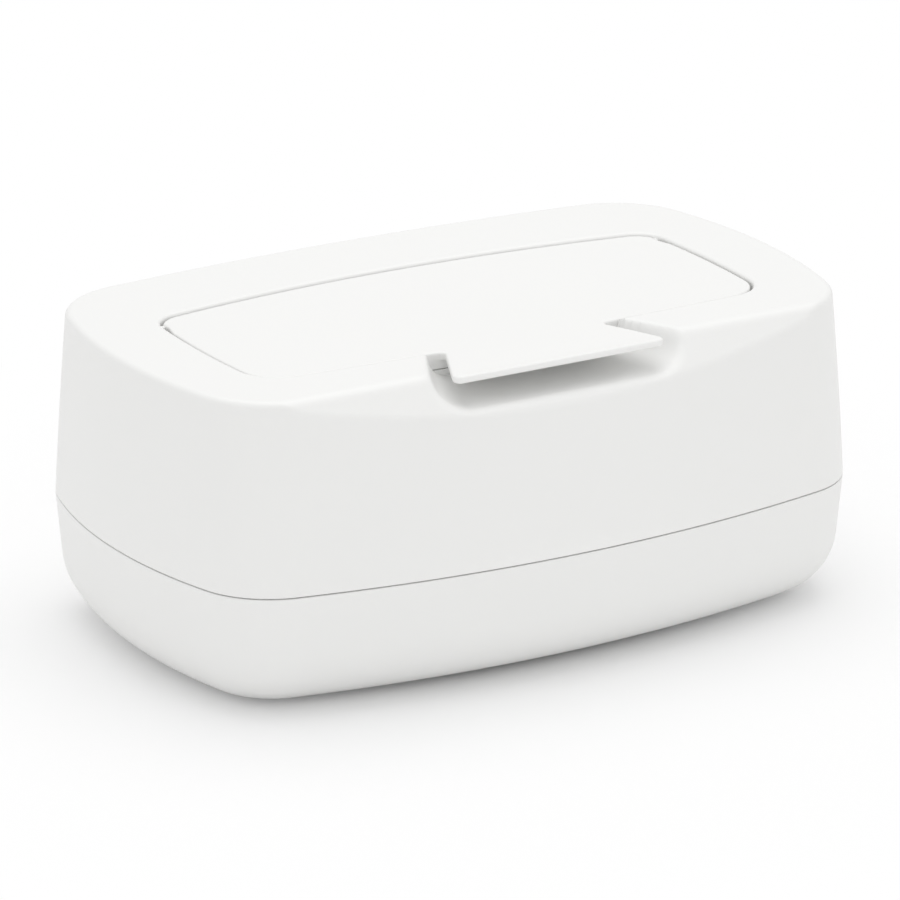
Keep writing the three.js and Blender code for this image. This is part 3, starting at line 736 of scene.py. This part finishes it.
# %% [markdown]
# ## The feet
# The feet are plain rubber discs with a rounded rim. A spun profile or a bevelled cone would both do,
# and the cone is the shorter way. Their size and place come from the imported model.

# %% Feet
FOOT_ROUND, FOOT_SEGMENTS, RIM_DEG = 0.5, 64, 60
for name in ("foot_front_left", "foot_front_right", "foot_back_left", "foot_back_right"):
    low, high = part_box(name)
    bm = bmesh.new()
    radius = (high.x - low.x) / 2
    bmesh.ops.create_cone(bm, cap_ends=True, segments=FOOT_SEGMENTS, radius1=radius, radius2=radius,
                          depth=high.z - low.z)
    rims = [edge for edge in bm.edges if edge.calc_face_angle(0) > math.radians(RIM_DEG)]
    bmesh.ops.bevel(bm, geom=rims, offset=FOOT_ROUND * MM, offset_type="OFFSET", segments=4, profile=0.5,
                    affect="EDGES", material=-1)
    bmesh.ops.translate(bm, verts=bm.verts, vec=(low + high) / 2)
    foot = finish_mesh(bm, name.replace("foot", "rubber_foot"), foot_rubber, "tray")
    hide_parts(name)

# %% [markdown]
# ## The camera
# The box was photographed from its left front corner with a long lens. The camera was fitted to the
# parting line, the top's outline and the silhouettes: its target is a point on the box, and its
# place follows from two angles and a distance.

# %% Camera
AZIMUTH, ELEVATION, DISTANCE = math.radians(-30.48), math.radians(19.24), 1832.8
PIXELS_PER_MM, IMAGE_WIDTH, FAR_CLIP = 3.34, 900, 20.0
TARGET = Vector((-0.3, 0.0, parting_z + 9.63))
toward = Vector((math.sin(AZIMUTH) * math.cos(ELEVATION), -math.cos(AZIMUTH) * math.cos(ELEVATION),
                 math.sin(ELEVATION)))
camera_data = bpy.data.cameras.new("camera")
camera_data.sensor_width = 36.0
camera_data.lens = PIXELS_PER_MM * DISTANCE / IMAGE_WIDTH * camera_data.sensor_width
camera_data.clip_end = FAR_CLIP
camera = bpy.data.objects.new("camera", camera_data)
camera.location = (TARGET + toward * DISTANCE) * MM
camera.rotation_euler = toward.to_track_quat("Z", "Y").to_euler()
bpy.context.scene.collection.objects.link(camera)
bpy.context.scene.camera = camera
print(f"lens {camera_data.lens:.0f} mm")

# %% [markdown]
# ## The light
# The world gives an even light. One wide lamp above makes the top the brightest face, and two faint
# ones, from the left and from the front, even out the walls. The camera sees the world as white.

# %% Light
AIM_HEIGHT, WORLD_STRENGTH = 0.05, 0.78


def lamp(name, place, size, power):
    """A wide square lamp that looks at the box."""
    light = bpy.data.lights.new(name, "AREA")
    light.size, light.energy = size, power
    holder = bpy.data.objects.new(name, light)
    holder.location = place
    holder.rotation_euler = (Vector(place) - Vector((0, 0, AIM_HEIGHT))).to_track_quat("Z", "Y").to_euler()
    bpy.context.scene.collection.objects.link(holder)


lamp("lamp above", (0.1, 0.15, 1.3), size=1.2, power=6.0)
lamp("lamp left", (-1.3, -0.7, 0.6), size=0.9, power=1.3)
lamp("lamp front", (0.8, -1.3, 0.35), size=1.0, power=1.3)
world = bpy.data.worlds.new("studio")
bpy.context.scene.world = world
world.use_nodes = True
tree = world.node_tree
tree.nodes.clear()
paths = tree.nodes.new("ShaderNodeLightPath")
soft = tree.nodes.new("ShaderNodeBackground")
soft.inputs["Strength"].default_value = WORLD_STRENGTH
white = tree.nodes.new("ShaderNodeBackground")
white.inputs["Strength"].default_value = 1.0
choice = tree.nodes.new("ShaderNodeMixShader")
output = tree.nodes.new("ShaderNodeOutputWorld")
for background in (soft, white):
    background.inputs["Color"].default_value = (1, 1, 1, 1)
tree.links.new(paths.outputs["Is Camera Ray"], choice.inputs[0])
tree.links.new(soft.outputs[0], choice.inputs[1])
tree.links.new(white.outputs[0], choice.inputs[2])
tree.links.new(choice.outputs[0], output.inputs["Surface"])

# %% [markdown]
# ## The floor
# A pale floor keeps the box's shadow. With the distance from the box it blends into a white glow, but
# only for the camera, so that it meets the white background without an edge.

# %% Floor
FLOOR_SIZE, PALE, BLEND_FROM, BLEND_TO = 6.0, 0.92, 0.04, 0.27
floor_finish = Finish("floor")
spot = floor_finish.add("ShaderNodeTexCoord", output=3)
away = floor_finish.add("ShaderNodeVectorMath", {"operation": "LENGTH"}, output=1, Vector=spot)
far = floor_finish.add("ShaderNodeMapRange", {"interpolation_type": "SMOOTHSTEP"}, Value=away,
                       From_Min=BLEND_FROM, From_Max=BLEND_TO)
seen = floor_finish.add("ShaderNodeLightPath", output=0)
pale = floor_finish.add("ShaderNodeBsdfDiffuse", Color=(PALE, PALE, PALE, 1.0))
glow = floor_finish.add("ShaderNodeEmission", Color=(1, 1, 1, 1), Strength=1.0)
blend = floor_finish.tree.nodes.new("ShaderNodeMixShader")
for value, slot in ((far * seen, 0), (pale, 1), (glow, 2)):
    floor_finish.tree.links.new(value.socket, blend.inputs[slot])
floor_material = floor_finish.surface(Value(floor_finish.tree, blend.outputs[0]))
floor_mesh = bpy.data.meshes.new("floor")
bm = bmesh.new()
bmesh.ops.create_grid(bm, x_segments=1, y_segments=1, size=FLOOR_SIZE / 2)
bm.to_mesh(floor_mesh)
bm.free()
floor_mesh.materials.append(floor_material)
floor = bpy.data.objects.new("floor", floor_mesh)
bpy.context.scene.collection.objects.link(floor)

# %% Finish
bpy.context.scene.view_settings.view_transform = "Standard"
